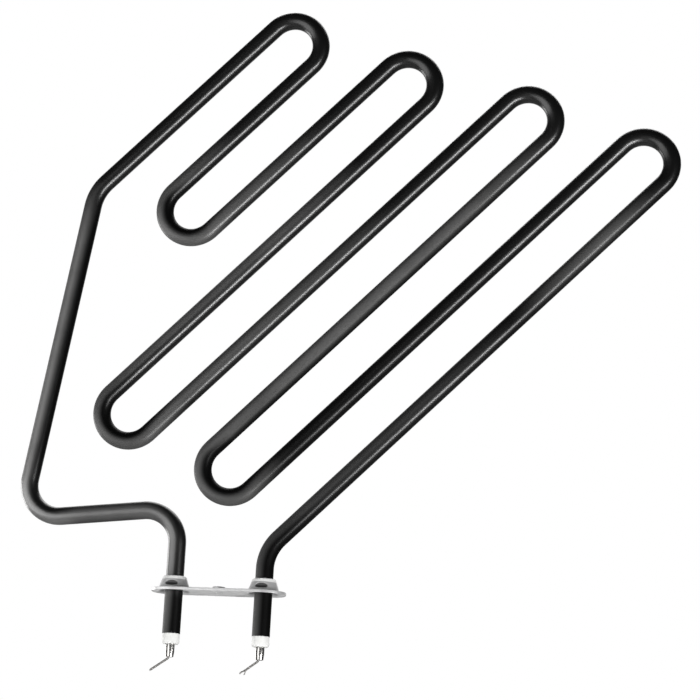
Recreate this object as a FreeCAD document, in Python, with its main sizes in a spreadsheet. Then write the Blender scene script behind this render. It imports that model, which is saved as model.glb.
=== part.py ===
import FreeCAD, Part
import math
import os
import Sketcher

# A flat tubular heating element: one steel tube bent into eight slanted rows, with its two legs
# held in a crimped mounting plate and a terminal on each tube end.
#
# Frame: the origin is the centre of the plate's flat underside. +Z points from the plate to the
# rows, the terminals point to -Z, and the whole tube lies in the XZ plane. The rows climb to +X.

# Driving sizes, in millimetres and degrees.
SIZES = {
    # Sheathed tube
    "tube_diameter": 9.0,
    "tube_wall": 0.7,
    # Legs: tail below the plate's underside, and straight rise above it up to the first bend
    "leg_spacing": 45.5,
    "leg_tail": 21.0,
    "left_leg_rise": 24.2,
    "left_leg_bend_radius": 16.5,
    "right_leg_rise": 12.8,
    "right_leg_bend_radius": 22.0,
    # Shoulder, from the left leg out to the side run
    "shoulder_slope": 5.5,
    "shoulder_straight": 43.0,
    "shoulder_bend_radius": 16.5,
    "side_bend_radius": 23.0,
    # Rows, numbered from the upper left, with the straight length of each
    "row_angle": 45.0,
    "row_pitch": 29.0,
    "row_one_straight": 119.5,
    "row_two_straight": 97.0,
    "row_three_straight": 125.0,
    "row_four_straight": 219.0,
    "row_five_straight": 250.0,
    "row_six_straight": 231.0,
    "row_seven_straight": 257.0,
    "row_eight_straight": 262.5,
    # Mounting plate: flat margin left round the collars, which stand at a draft to the legs
    "plate_margin": 2.5,
    "plate_thickness": 1.2,
    "collar_clearance": 0.05,
    "collar_height": 7.6,
    "collar_draft": 18.5,
    "collar_root_radius": 1.2,
    "crimp_height": 4.1,
    "crimp_depth": 0.7,
    "crimp_die_radius": 1.6,
    "screw_core_diameter": 4.2,
    "screw_collar_diameter": 6.4,
    "screw_collar_height": 3.0,
    "screw_collar_root_radius": 0.5,
    # Inside of the tube
    "pin_diameter": 3.0,
    "pin_chamfer": 0.3,
    "cold_end_height": 10.0,
    "seal_length": 6.0,
    # Ceramic bush
    "bush_diameter": 8.7,
    "bush_head_length": 5.2,
    "bush_chamfer": 0.6,
    "bush_spigot_length": 4.0,
    "bush_clearance": 0.1,
    # Crimped sleeve
    "sleeve_length": 6.4,
    "sleeve_taper_length": 2.8,
    "sleeve_wall": 0.7,
    "sleeve_mouth_diameter": 2.5,
    "sleeve_clearance": 0.05,
    "sleeve_seam_angle": 32.0,
    "sleeve_turn": 55.0,
    # Bare lead
    "lead_diameter": 1.1,
    "lead_offset": 0.6,
    "lead_gap": 0.1,
    "lead_bend_radius": 0.9,
    "lead_drop": 0.1,
    "lead_stub_length": 10.6,
    "left_lead_turn": 55.0,
    "right_lead_turn": 53.0,
}

# Sizes that several pieces share, as expressions on the sheet.
TUBE_RADIUS = "Sizes.tube_diameter / 2"
BORE_RADIUS = "(Sizes.tube_diameter / 2 - Sizes.tube_wall)"
PIN_RADIUS = "Sizes.pin_diameter / 2"
TUBE_END = "-Sizes.leg_tail"
BUSH_BASE = "(-Sizes.leg_tail - Sizes.bush_head_length)"
SEAL_BASE = "(-Sizes.leg_tail + Sizes.bush_spigot_length)"
SEAL_TOP = "(-Sizes.leg_tail + Sizes.bush_spigot_length + Sizes.seal_length)"
SLEEVE_BASE = "(-Sizes.leg_tail - Sizes.bush_head_length - Sizes.sleeve_length)"
PIN_BASE = f"({SLEEVE_BASE} + Sizes.sleeve_taper_length)"
COLLAR_BORE = "(Sizes.tube_diameter / 2 + Sizes.collar_clearance)"
DRAFT = "Sizes.collar_draft * 1 deg"
COLLAR_TOP = f"({COLLAR_BORE} + Sizes.plate_thickness / cos({DRAFT}))"
COLLAR_FALL = (
    "(Sizes.collar_height - Sizes.plate_thickness"
    f" - Sizes.collar_root_radius * (1 - sin({DRAFT})))"
)
COLLAR_RIM = f"({COLLAR_TOP} + {COLLAR_FALL} * tan({DRAFT}) + Sizes.collar_root_radius * cos({DRAFT}))"
PLATE_HALF_WIDTH = f"({COLLAR_RIM} + Sizes.plate_margin)"
SCREW_RIM = "(Sizes.screw_collar_diameter / 2 + Sizes.screw_collar_root_radius)"
ROWS = ("one", "two", "three", "four", "five", "six", "seven", "eight")
SIDES = {"left": -1, "right": 1}

doc = FreeCAD.newDocument("heating_element")
sheet = doc.addObject("Spreadsheet::Sheet", "Sizes")


def fill_sheet():
    """Write every driving size into the sheet, one row each, with its alias."""
    for row, (alias, size) in enumerate(SIZES.items(), start=1):
        sheet.set(f"A{row}", alias)
        sheet.set(f"B{row}", str(size))
        sheet.setAlias(f"B{row}", alias)
    doc.recompute()


def amount(expression):
    """Return the number that an expression on the sheet stands for."""
    found = sheet.evalExpression(expression)
    return float(getattr(found, "Value", found))


def new_body(label):
    """Return an empty body for one piece, labelled with the piece's name."""
    body = doc.addObject("PartDesign::Body", label)
    body.Label = label
    return body


def sketch_on(body, role, name, x="0", y="0", out="0", turn="0"):
    """Add a sketch to an origin plane of its body, moved by expressions and turned on its y axis."""
    plane = next(item for item in body.Origin.OriginFeatures if item.Role == role)
    sketch = body.newObject("Sketcher::SketchObject", name)
    sketch.AttachmentSupport = (plane, [""])
    sketch.MapMode = "FlatFace"
    place = FreeCAD.Vector(amount(x), amount(y), amount(out))
    turned = FreeCAD.Rotation(FreeCAD.Vector(0, 1, 0), amount(turn))
    sketch.AttachmentOffset = FreeCAD.Placement(place, turned)
    sketch.setExpression("AttachmentOffset.Base.x", f"({x}) * 1 mm")
    sketch.setExpression("AttachmentOffset.Base.y", f"({y}) * 1 mm")
    sketch.setExpression("AttachmentOffset.Base.z", f"({out}) * 1 mm")
    if turn != "0":
        sketch.setExpression("AttachmentOffset.Rotation.Angle", f"({turn}) * 1 deg")
    return sketch


def drive(sketch, constraint, expression, unit="mm"):
    """Add a dimension to the sketch and bind it to the sheet."""
    index = sketch.addConstraint(constraint)
    sketch.setExpression(f"Constraints[{index}]", f"({expression}) * 1 {unit}")


def drive_circle(sketch, radius):
    """Add a circle on the sketch's origin with a bound radius."""
    circle = Part.Circle(FreeCAD.Vector(0, 0, 0), FreeCAD.Vector(0, 0, 1), amount(radius))
    index = sketch.addGeometry(circle, False)
    sketch.addConstraint(Sketcher.Constraint("Coincident", index, 3, -1, 1))
    drive(sketch, Sketcher.Constraint("Radius", index, amount(radius)), radius)


def drive_point(sketch, index, x, y):
    """Place the start of a line by two bound distances from the sketch's origin, none of them negative."""
    for kind, expression, axis in (("DistanceX", x, -2), ("DistanceY", y, -1)):
        if expression == "0":
            sketch.addConstraint(Sketcher.Constraint("PointOnObject", index, 1, axis))
        else:
            drive(sketch, Sketcher.Constraint(kind, -1, 1, index, 1, amount(expression)), expression)


def draw_outline(sketch, points):
    """Draw a closed outline of straight lines through points given as pairs of expressions."""
    places = [FreeCAD.Vector(amount(x), amount(y), 0) for x, y in points]
    count = len(places)
    for index in range(count):
        sketch.addGeometry(Part.LineSegment(places[index], places[(index + 1) % count]), False)
    for index in range(count):
        sketch.addConstraint(Sketcher.Constraint("Coincident", index, 2, (index + 1) % count, 1))
    for index, (x, y) in enumerate(points):
        drive_point(sketch, index, x, y)


def turned_piece(label, x, base, points, gap="0", turn="0"):
    """Make a turned piece on a vertical axis: points give radius and height above the base.

    A gap, in degrees, is left open opposite the sketch, which stands at the given turn.
    """
    body = new_body(label)
    outline = sketch_on(body, "XZ_Plane", label + "_outline", x=x, y=base, turn=turn)
    draw_outline(outline, points)
    spun = body.newObject("PartDesign::Revolution", label + "_turned")
    spun.Profile = outline
    spun.ReferenceAxis = (outline, ["V_Axis"])
    spun.Midplane = True
    spun.Angle = 360 - amount(gap)
    if gap != "0":
        spun.setExpression("Angle", f"(360 - {gap}) * 1 deg")
    return body


class Walk:
    """A bend path on paper: straight runs and arcs, each tangent to the one before."""

    def __init__(self, x, y, heading):
        self.x = x
        self.y = y
        self.heading = heading
        self.steps = []

    def straight(self, length):
        """Go on in a straight line."""
        start = (self.x, self.y)
        self.x += length * math.cos(self.heading)
        self.y += length * math.sin(self.heading)
        self.steps.append(("line", start, (self.x, self.y)))

    def bend(self, radius, turn):
        """Go round an arc, to the left for a positive turn in radians or to the right for a negative one."""
        side = math.copysign(1, turn)
        left = self.heading + math.pi / 2
        centre = (self.x + side * radius * math.cos(left), self.y + side * radius * math.sin(left))
        first = math.atan2(self.y - centre[1], self.x - centre[0])
        self.heading += turn
        self.x = centre[0] + radius * math.cos(first + turn)
        self.y = centre[1] + radius * math.sin(first + turn)
        self.steps.append(("arc", centre, radius, first, turn))


def backwards(steps):
    """Return the steps of a walk in the other direction."""
    turned = []
    for step in reversed(steps):
        if step[0] == "line":
            turned.append(("line", step[2], step[1]))
        else:
            kind, centre, radius, first, turn = step
            turned.append((kind, centre, radius, first + turn, -turn))
    return turned


def meander_steps(foot):
    """Work out the tube's centre line from left leg to right leg, both starting at height foot.

    The walk from each leg is known up to the side run, which is the common tangent of the
    shoulder bend and the side bend.
    """
    half = amount("Sizes.leg_spacing") / 2
    slope = math.radians(amount("Sizes.shoulder_slope"))
    steep = math.radians(amount("Sizes.row_angle"))
    left = Walk(-half, 0, math.pi / 2)
    left.straight(amount("Sizes.left_leg_rise") - foot)
    left.bend(amount("Sizes.left_leg_bend_radius"), math.pi / 2 + slope)
    left.straight(amount("Sizes.shoulder_straight"))
    right = Walk(half, 0, math.pi / 2)
    right.straight(amount("Sizes.right_leg_rise") - foot)
    right.bend(amount("Sizes.right_leg_bend_radius"), steep - math.pi / 2)
    turn = math.pi
    for row in reversed(ROWS):
        right.straight(amount(f"Sizes.row_{row}_straight"))
        if row != "one":
            right.bend(amount("Sizes.row_pitch") / 2, turn)
            turn = -turn
    lower = amount("Sizes.shoulder_bend_radius")
    upper = amount("Sizes.side_bend_radius")
    lower_x = left.x + lower * math.sin(left.heading)
    lower_y = left.y - lower * math.cos(left.heading)
    upper_x = right.x - upper * math.sin(right.heading)
    upper_y = right.y + upper * math.cos(right.heading)
    reach = math.hypot(upper_x - lower_x, upper_y - lower_y)
    run = math.sqrt(reach**2 - (upper - lower) ** 2)
    side = math.atan2(upper_y - lower_y, upper_x - lower_x) + math.atan2(upper - lower, run)
    left.bend(lower, side - left.heading)
    left.straight(run)
    left.bend(upper, steep - side)
    return left.steps + backwards(right.steps)


def meander_dimensions(foot):
    """List what fixes each step: a length for a line, or a radius and a turn in degrees for an arc.

    The side run and the turns beside it follow from the others.
    """
    listed = [(f"Sizes.left_leg_rise - ({foot})",)]
    listed.append(("Sizes.left_leg_bend_radius", "90 + Sizes.shoulder_slope"))
    listed.append(("Sizes.shoulder_straight",))
    listed.append(("Sizes.shoulder_bend_radius", None))
    listed.append((None,))
    listed.append(("Sizes.side_bend_radius", None))
    for row in ROWS:
        listed.append((f"Sizes.row_{row}_straight",))
        listed.append(("Sizes.row_pitch / 2", "180"))
    listed[-1] = ("Sizes.right_leg_bend_radius", "90 - Sizes.row_angle")
    listed.append((f"Sizes.right_leg_rise - ({foot})",))
    return listed


def draw_steps(sketch, steps):
    """Draw the steps end to end, each tangent to the next, and return the ends of each as point numbers."""
    ends = []
    for index, step in enumerate(steps):
        if step[0] == "line":
            start = FreeCAD.Vector(*step[1], 0)
            end = FreeCAD.Vector(*step[2], 0)
            sketch.addGeometry(Part.LineSegment(start, end), False)
            ends.append((1, 2))
        else:
            kind, centre, radius, first, turn = step
            circle = Part.Circle(FreeCAD.Vector(*centre, 0), FreeCAD.Vector(0, 0, 1), radius)
            low, high = sorted((first, first + turn))
            sketch.addGeometry(Part.ArcOfCircle(circle, low, high), False)
            ends.append((1, 2) if turn > 0 else (2, 1))
        if index:
            joint = Sketcher.Constraint("Tangent", index - 1, ends[index - 1][1], index, ends[index][0])
            sketch.addConstraint(joint)
    return ends


def drive_steps(sketch, steps, dimensions):
    """Bind each step's length, or radius and turn, to the sheet where the list gives one."""
    for index, (step, bound) in enumerate(zip(steps, dimensions)):
        if step[0] == "line":
            if bound[0]:
                length = Sketcher.Constraint("Distance", index, amount(bound[0]))
                drive(sketch, length, bound[0])
        else:
            drive(sketch, Sketcher.Constraint("Radius", index, amount(bound[0])), bound[0])
            if bound[1]:
                turn = Sketcher.Constraint("Angle", index, math.radians(amount(bound[1])))
                drive(sketch, turn, bound[1], "deg")


def draw_meander(body, foot):
    """Draw the tube's centre line in the XZ plane, with both legs cut off at the height foot."""
    sketch = sketch_on(body, "XZ_Plane", body.Label + "_path", y=foot)
    steps = meander_steps(amount(foot))
    ends = draw_steps(sketch, steps)
    last = len(steps) - 1
    far = ends[last][1]
    sketch.addConstraint(Sketcher.Constraint("Vertical", 0))
    sketch.addConstraint(Sketcher.Constraint("Vertical", last))
    sketch.addConstraint(Sketcher.Constraint("PointOnObject", 0, 1, -1))
    sketch.addConstraint(Sketcher.Constraint("Symmetric", 0, 1, last, far, -2))
    spacing = Sketcher.Constraint("DistanceX", 0, 1, last, far, amount("Sizes.leg_spacing"))
    drive(sketch, spacing, "Sizes.leg_spacing")
    drive_steps(sketch, steps, meander_dimensions(foot))
    return sketch


def swept_piece(label, foot, radii):
    """Sweep a disc, or a ring of two radii, along the whole meander from a height on both legs."""
    body = new_body(label)
    path = draw_meander(body, foot)
    section = sketch_on(body, "XY_Plane", label + "_section", x="-Sizes.leg_spacing / 2", out=foot)
    for radius in radii:
        drive_circle(section, radius)
    pipe = body.newObject("PartDesign::AdditivePipe", label + "_pipe")
    pipe.Profile = section
    pipe.Spine = (path, [""])
    return body


def draw_leg_collar(sketch):
    """Draw the section of a leg collar: the sheet bent up round the root and drawn to a cone.

    The sheet keeps its thickness. The cone's top holds the leg, and below it opens like a trumpet.
    """
    thick = "Sizes.plate_thickness"
    root = "Sizes.collar_root_radius"
    height = "Sizes.collar_height"
    lean = math.radians(amount("Sizes.collar_draft"))
    centre = FreeCAD.Vector(amount(COLLAR_RIM), amount(f"{thick} + {root}"), 0)
    inward = FreeCAD.Vector(-math.cos(lean), -math.sin(lean), 0)
    bore_top = FreeCAD.Vector(amount(COLLAR_BORE), amount(height), 0)
    outer_top = FreeCAD.Vector(amount(COLLAR_TOP), amount(height), 0)
    rim_top = FreeCAD.Vector(centre.x, amount(thick), 0)
    rim_low = FreeCAD.Vector(centre.x, 0, 0)

    def line(start, end):
        sketch.addGeometry(Part.LineSegment(start, end), False)

    def root_arc(radius):
        circle = Part.Circle(centre, FreeCAD.Vector(0, 0, 1), radius)
        sketch.addGeometry(Part.ArcOfCircle(circle, math.pi + lean, 1.5 * math.pi), False)

    line(centre + inward * amount(f"{root} + {thick}"), bore_top)
    line(bore_top, outer_top)
    line(outer_top, centre + inward * amount(root))
    root_arc(amount(root))
    line(rim_top, rim_low)
    root_arc(amount(f"{root} + {thick}"))
    for joint in ((0, 2, 1, 1), (1, 2, 2, 1), (3, 2, 4, 1), (4, 2, 5, 2), (5, 3, 3, 3)):
        sketch.addConstraint(Sketcher.Constraint("Coincident", *joint))
    for joint in ((2, 2, 3, 1), (5, 1, 0, 1)):
        sketch.addConstraint(Sketcher.Constraint("Tangent", *joint))
    sketch.addConstraint(Sketcher.Constraint("Parallel", 0, 2))
    sketch.addConstraint(Sketcher.Constraint("Horizontal", 1))
    sketch.addConstraint(Sketcher.Constraint("Vertical", 4))
    sketch.addConstraint(Sketcher.Constraint("Vertical", 3, 3, 3, 2))
    sketch.addConstraint(Sketcher.Constraint("PointOnObject", 4, 2, -1))
    drive_point(sketch, 1, COLLAR_BORE, height)
    drive(sketch, Sketcher.Constraint("DistanceY", 4, 2, 4, 1, amount(thick)), thick)
    drive(sketch, Sketcher.Constraint("Radius", 3, amount(root)), root)
    sweep = Sketcher.Constraint("Angle", 3, math.pi / 2 - lean)
    drive(sketch, sweep, "90 - Sizes.collar_draft", "deg")


def draw_screw_collar(sketch):
    """Draw the section of the collar tapped for the screw, with a straight bore and a rounded root."""
    thick = "Sizes.plate_thickness"
    root = "Sizes.screw_collar_root_radius"
    height = "Sizes.screw_collar_height"
    bore = "Sizes.screw_core_diameter / 2"
    outer = "Sizes.screw_collar_diameter / 2"
    level = f"{thick} + {root}"
    places = {
        "bore_low": (bore, "0"),
        "bore_top": (bore, height),
        "outer_top": (outer, height),
        "outer_low": (outer, level),
        "rim_top": (SCREW_RIM, thick),
        "rim_low": (SCREW_RIM, "0"),
    }
    spots = {key: FreeCAD.Vector(amount(x), amount(y), 0) for key, (x, y) in places.items()}

    def line(start, end):
        sketch.addGeometry(Part.LineSegment(spots[start], spots[end]), False)

    line("bore_low", "bore_top")
    line("bore_top", "outer_top")
    line("outer_top", "outer_low")
    centre = FreeCAD.Vector(amount(SCREW_RIM), amount(level), 0)
    circle = Part.Circle(centre, FreeCAD.Vector(0, 0, 1), amount(root))
    sketch.addGeometry(Part.ArcOfCircle(circle, math.pi, 1.5 * math.pi), False)
    line("rim_top", "rim_low")
    line("bore_low", "rim_low")
    for joint in ((0, 2, 1, 1), (1, 2, 2, 1), (3, 2, 4, 1), (4, 2, 5, 2), (5, 1, 0, 1)):
        sketch.addConstraint(Sketcher.Constraint("Coincident", *joint))
    sketch.addConstraint(Sketcher.Constraint("Tangent", 2, 2, 3, 1))
    for index in (0, 2, 4):
        sketch.addConstraint(Sketcher.Constraint("Vertical", index))
    for index, key in ((1, "bore_top"), (2, "outer_top"), (4, "rim_top")):
        drive_point(sketch, index, *places[key])
    drive(sketch, Sketcher.Constraint("DistanceY", -1, 1, 3, 3, amount(level)), level)
    sketch.addConstraint(Sketcher.Constraint("Horizontal", 5))
    sketch.addConstraint(Sketcher.Constraint("PointOnObject", 4, 2, -1))


def add_collar(body, name, x, draw):
    """Turn a collar onto the plate about a vertical axis at x, from the section that draw makes."""
    outline = sketch_on(body, "XZ_Plane", f"{name}_outline", x=x)
    draw(outline)
    spun = body.newObject("PartDesign::Revolution", name)
    spun.Profile = outline
    spun.ReferenceAxis = (outline, ["V_Axis"])
    spun.Angle = 360


def draw_plate_outline(sketch, holes):
    """Draw the plate from above, its ends round the legs, with a hole for each collar as x and radius."""
    span = "Sizes.leg_spacing / 2"
    end = amount(PLATE_HALF_WIDTH)
    side = amount(span)
    up = FreeCAD.Vector(0, 0, 1)
    quarter = math.pi / 2
    for x, first in ((side, -quarter), (-side, quarter)):
        circle = Part.Circle(FreeCAD.Vector(x, 0, 0), up, end)
        sketch.addGeometry(Part.ArcOfCircle(circle, first, first + math.pi), False)
    for y, start in ((end, side), (-end, -side)):
        line = Part.LineSegment(FreeCAD.Vector(start, y, 0), FreeCAD.Vector(-start, y, 0))
        sketch.addGeometry(line, False)
    for joint in ((0, 2, 2, 1), (2, 2, 1, 1), (1, 2, 3, 1), (3, 2, 0, 1)):
        sketch.addConstraint(Sketcher.Constraint("Tangent", *joint))
    sketch.addConstraint(Sketcher.Constraint("Symmetric", 0, 3, 1, 3, -1, 1))
    sketch.addConstraint(Sketcher.Constraint("PointOnObject", 0, 3, -1))
    sketch.addConstraint(Sketcher.Constraint("Equal", 0, 1))
    drive(sketch, Sketcher.Constraint("Radius", 0, end), PLATE_HALF_WIDTH)
    drive(sketch, Sketcher.Constraint("DistanceX", -1, 1, 0, 3, side), span)
    for index, (x, radius) in enumerate(holes, start=4):
        centre = FreeCAD.Vector(amount(x), 0, 0)
        sketch.addGeometry(Part.Circle(centre, up, amount(radius)), False)
        drive(sketch, Sketcher.Constraint("Radius", index, amount(radius)), radius)
        place_hole(sketch, index, x)


def place_hole(sketch, index, x):
    """Hold a circle's centre on the sketch's horizontal axis, at the bound distance x from the origin."""
    sketch.addConstraint(Sketcher.Constraint("PointOnObject", index, 3, -1))
    if x == "0":
        sketch.addConstraint(Sketcher.Constraint("PointOnObject", index, 3, -2))
    elif amount(x) > 0:
        drive(sketch, Sketcher.Constraint("DistanceX", -1, 1, index, 3, amount(x)), x)
    else:
        drive(sketch, Sketcher.Constraint("DistanceX", index, 3, -1, 1, -amount(x)), f"-({x})")


def crimp_collar(body, name, x, face):
    """Press an oval dent into a collar, on its front (face -1) or its back (face 1)."""
    wall = f"{COLLAR_TOP} + (Sizes.collar_height - Sizes.crimp_height) * tan({DRAFT})"
    reach = f"{wall} + Sizes.crimp_die_radius - Sizes.crimp_depth"
    die = sketch_on(
        body, "YZ_Plane", f"{name}_die", x=f"{face} * ({reach})", y="Sizes.crimp_height", out=x
    )
    drive_circle(die, "Sizes.crimp_die_radius")
    dent = body.newObject("PartDesign::Pocket", name)
    dent.Profile = die
    dent.Midplane = True
    dent.setExpression("Length", f"2 * ({wall}) * 1 mm")


def make_plate():
    """Make the mounting plate: a strip of sheet with a collar for each leg and a tapped one between."""
    label = "mounting_plate"
    body = new_body(label)
    legs = {side: f"{sign} * Sizes.leg_spacing / 2" for side, sign in SIDES.items()}
    outline = sketch_on(body, "XY_Plane", f"{label}_outline")
    holes = [(x, COLLAR_RIM) for x in legs.values()]
    draw_plate_outline(outline, holes + [("0", SCREW_RIM)])
    strip = body.newObject("PartDesign::Pad", f"{label}_strip")
    strip.Profile = outline
    strip.setExpression("Length", "Sizes.plate_thickness * 1 mm")
    for side, x in legs.items():
        add_collar(body, f"{side}_collar", x, draw_leg_collar)
    add_collar(body, "screw_collar", "0", draw_screw_collar)
    for side, x in legs.items():
        for place, face in (("front", -1), ("back", 1)):
            crimp_collar(body, f"{side}_{place}_crimp", x, face)
    return body


def make_terminal(side):
    """Make the pieces of one tube end: pin, seal, ceramic bush and crimped sleeve."""
    axis = f"{SIDES[side]} * Sizes.leg_spacing / 2"
    edge = "Sizes.pin_chamfer"
    tall = f"Sizes.cold_end_height - {PIN_BASE}"
    pin = [
        ("0", "0"),
        (f"{PIN_RADIUS} - {edge}", "0"),
        (PIN_RADIUS, edge),
        (PIN_RADIUS, tall),
        ("0", tall),
    ]
    turned_piece(f"terminal_pin_{side}", axis, PIN_BASE, pin)
    seal = [
        (PIN_RADIUS, "0"),
        (BORE_RADIUS, "0"),
        (BORE_RADIUS, "Sizes.seal_length"),
        (PIN_RADIUS, "Sizes.seal_length"),
    ]
    turned_piece(f"end_seal_{side}", axis, SEAL_BASE, seal)
    head = "Sizes.bush_diameter / 2"
    chamfer = "Sizes.bush_chamfer"
    hole = f"{PIN_RADIUS} + Sizes.bush_clearance"
    spigot = f"{BORE_RADIUS} - Sizes.bush_clearance"
    bush_top = "Sizes.bush_head_length + Sizes.bush_spigot_length"
    bush = [
        (hole, "0"),
        (f"{head} - {chamfer}", "0"),
        (head, chamfer),
        (head, "Sizes.bush_head_length"),
        (spigot, "Sizes.bush_head_length"),
        (spigot, bush_top),
        (hole, bush_top),
    ]
    turned_piece(f"ceramic_bush_{side}", axis, BUSH_BASE, bush)
    mouth = "Sizes.sleeve_mouth_diameter / 2"
    grip = f"{PIN_RADIUS} + Sizes.sleeve_clearance"
    wall = "Sizes.sleeve_wall"
    sleeve = [
        (mouth, "0"),
        (f"{mouth} + {wall}", "0"),
        (f"{grip} + {wall}", "Sizes.sleeve_taper_length"),
        (f"{grip} + {wall}", "Sizes.sleeve_length"),
        (grip, "Sizes.sleeve_length"),
        (grip, "Sizes.sleeve_taper_length"),
    ]
    turned_piece(
        f"crimp_sleeve_{side}",
        axis,
        SLEEVE_BASE,
        sleeve,
        gap="Sizes.sleeve_seam_angle",
        turn="Sizes.sleeve_turn",
    )


def make_lead(side):
    """Make the bare stub of lead wire, down out of the sleeve and then bent aside to the left."""
    label = f"lead_stub_{side}"
    body = new_body(label)
    axis = f"{SIDES[side]} * Sizes.leg_spacing / 2 - Sizes.lead_offset"
    top = f"{PIN_BASE} - Sizes.lead_gap"
    drop = "Sizes.sleeve_taper_length + Sizes.lead_drop - Sizes.lead_gap"
    turn = f"Sizes.{side}_lead_turn"
    path = sketch_on(body, "XZ_Plane", f"{label}_path", x=axis, y=top)
    walk = Walk(0, 0, -math.pi / 2)
    walk.straight(amount(drop))
    walk.bend(amount("Sizes.lead_bend_radius"), -math.radians(amount(turn)))
    walk.straight(amount("Sizes.lead_stub_length"))
    draw_steps(path, walk.steps)
    path.addConstraint(Sketcher.Constraint("Coincident", 0, 1, -1, 1))
    path.addConstraint(Sketcher.Constraint("Vertical", 0))
    dimensions = [(drop,), ("Sizes.lead_bend_radius", turn), ("Sizes.lead_stub_length",)]
    drive_steps(path, walk.steps, dimensions)
    section = sketch_on(body, "XY_Plane", f"{label}_section", x=axis, out=top)
    drive_circle(section, "Sizes.lead_diameter / 2")
    pipe = body.newObject("PartDesign::AdditivePipe", f"{label}_pipe")
    pipe.Profile = section
    pipe.Spine = (path, [""])
    return body


def check_model(bodies):
    """Stop if any object failed, a sketch is loose or a piece has no single sound solid."""
    for item in doc.Objects:
        if "Invalid" in item.State or "Error" in item.State:
            raise RuntimeError(f"{item.Name} failed: {item.State}")
        if item.TypeId == "Sketcher::SketchObject" and not item.FullyConstrained:
            raise RuntimeError(f"{item.Name} isn't fully constrained")
    for body in bodies:
        if body.Shape.isNull() or not body.Shape.isValid() or len(body.Shape.Solids) != 1:
            raise RuntimeError(f"{body.Label} isn't one valid solid")


def main():
    """Build the pieces, check them and write one file for each."""
    fill_sheet()
    swept_piece("sheath_tube", TUBE_END, (TUBE_RADIUS, BORE_RADIUS))
    swept_piece("insulation_core", SEAL_TOP, (BORE_RADIUS, PIN_RADIUS))
    swept_piece("resistance_coil", "Sizes.cold_end_height", (PIN_RADIUS,))
    make_plate()
    for side in SIDES:
        make_terminal(side)
        make_lead(side)
    doc.recompute()
    bodies = [item for item in doc.Objects if item.TypeId == "PartDesign::Body"]
    check_model(bodies)
    os.makedirs("parts", exist_ok=True)
    for body in bodies:
        body.Shape.exportStep(f"parts/{body.Label}.step")
        print(f"{body.Label}: {body.Shape.Volume:.1f} mm3")


main()
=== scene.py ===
"""Looks of the flat tubular heating element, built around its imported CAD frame.

Every length is in metres and in the row frame: the origin is the centre of the mounting plate's
underside, +Z points to the rows and the tube lies in the XZ plane.
"""

import logging
import math
from dataclasses import dataclass
from enum import Enum

import bmesh
import bpy
from mathutils import Matrix, Vector

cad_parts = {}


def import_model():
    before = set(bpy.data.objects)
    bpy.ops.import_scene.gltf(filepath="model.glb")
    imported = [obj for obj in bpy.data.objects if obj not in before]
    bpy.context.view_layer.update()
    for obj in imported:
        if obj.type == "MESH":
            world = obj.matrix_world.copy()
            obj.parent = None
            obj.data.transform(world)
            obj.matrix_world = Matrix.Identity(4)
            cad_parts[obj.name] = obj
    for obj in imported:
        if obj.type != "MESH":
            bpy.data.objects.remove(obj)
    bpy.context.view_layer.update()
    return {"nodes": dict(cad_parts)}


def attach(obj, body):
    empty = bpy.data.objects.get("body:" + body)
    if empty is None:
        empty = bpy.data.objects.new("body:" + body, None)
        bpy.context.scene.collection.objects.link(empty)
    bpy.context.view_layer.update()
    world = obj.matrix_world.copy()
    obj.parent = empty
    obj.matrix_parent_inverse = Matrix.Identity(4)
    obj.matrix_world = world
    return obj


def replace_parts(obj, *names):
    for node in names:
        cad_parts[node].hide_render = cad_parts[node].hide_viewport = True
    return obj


LOG = logging.getLogger("heating_element")
MM = 0.001
UP = Vector((0, 0, 1))
ACROSS = Vector((0, 1, 0))
LEG_SPACING = 45.5 * MM
LEG_TAIL = 21 * MM

Pair = tuple[float, float]
Triple = tuple[float, float, float]


# Shader nodes


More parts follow.
